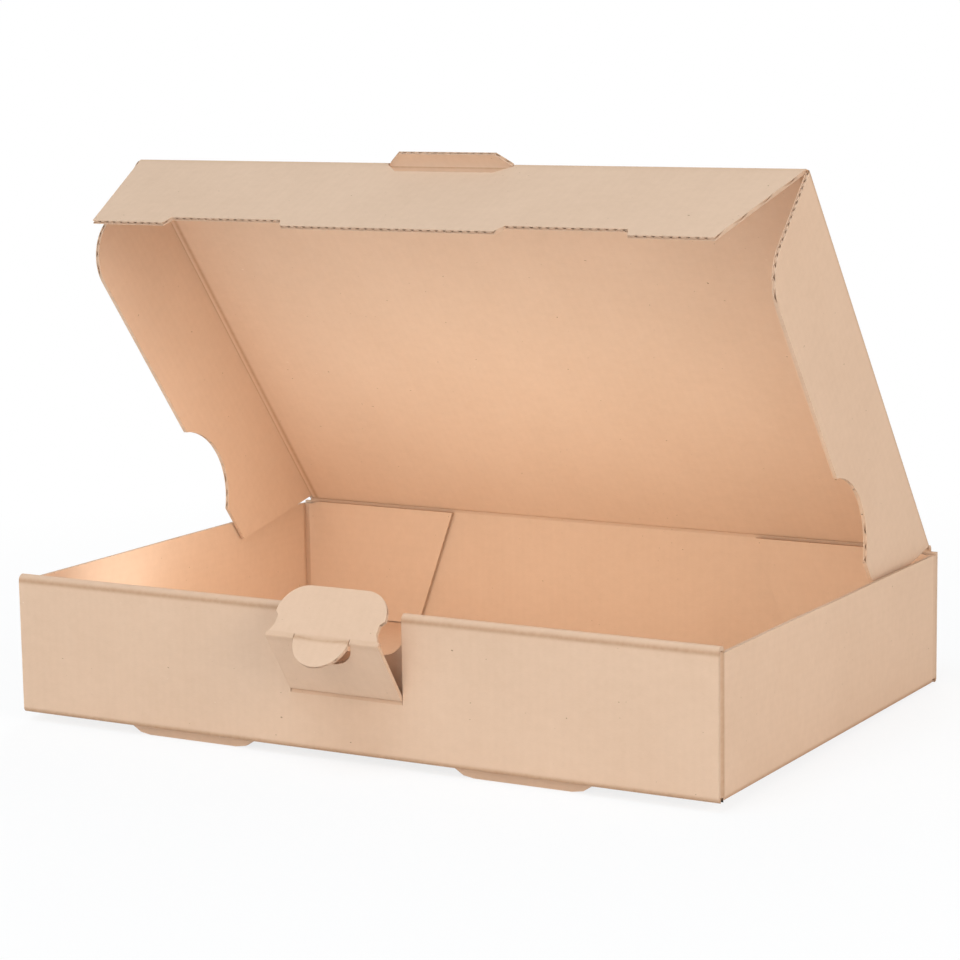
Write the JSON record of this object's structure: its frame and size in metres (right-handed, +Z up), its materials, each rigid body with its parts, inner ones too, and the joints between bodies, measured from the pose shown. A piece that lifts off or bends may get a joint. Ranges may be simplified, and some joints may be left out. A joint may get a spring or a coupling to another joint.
{
  "type": "flat mailer box",
  "caption": "Flat mailer box of fine-fluted board, cut and folded from one sheet, with a hinged lid, side flaps, rear dust flaps and a tuck-in latch on the front wall.",
  "frame": {"origin": "centre of the underside of the bottom panel", "axes": "+X along the box's width, to the right seen from the front, +Y from the front wall to the back wall, +Z up"},
  "size_m": [0.303, 0.2293, 0.2212],
  "materials": {
    "board": "matt kraft paper"
  },
  "bodies": {
    "tray": {"tray": "board"},
    "lid": {"lid": "board"},
    "lid_front_flap": {"lid_front_flap": "board"},
    "latch_arm": {"latch_arm": "board"},
    "latch_tip": {"latch_tip": "board"},
    "dust_flap_right": {"dust_flap_right": "board"},
    "dust_flap_left": {"dust_flap_left": "board"}
  },
  "joints": [
    {"name": "lid_fold", "type": "hinge", "parent": "tray", "child": "lid", "pos_m": [0, 0.1024, 0.05445], "axis": [-1, 0, 0], "range_deg": [-51.8, 127.7]},
    {"name": "front_flap_fold", "type": "hinge", "parent": "lid", "child": "lid_front_flap", "pos_m": [0, -0.0196, 0.2123], "axis": [-1, 0, 0], "range_deg": [-32.2, 79.3]},
    {"name": "latch_arm_fold", "type": "hinge", "parent": "tray", "child": "latch_arm", "pos_m": [0, -0.1024, 0.0226], "axis": [1, 0, 0], "range_deg": [-34, 76]},
    {"name": "latch_tip_fold", "type": "hinge", "parent": "latch_arm", "child": "latch_tip", "pos_m": [0, -0.11834, 0.04623], "axis": [1, 0, 0], "range_deg": [-16, 74]},
    {"name": "dust_flap_right_fold", "type": "hinge", "parent": "tray", "child": "dust_flap_right", "pos_m": [0.15075, 0.10055, 0.0259], "axis": [0, 0, 1], "range_deg": [0, 55]},
    {"name": "dust_flap_left_fold", "type": "hinge", "parent": "tray", "child": "dust_flap_left", "pos_m": [-0.15075, 0.10055, 0.0259], "axis": [0, 0, -1], "range_deg": [0, 55]}
  ],
  "couplings": [
    {"joint": "front_flap_fold", "follows": "lid_fold", "ratio": 0.62}
  ]
}
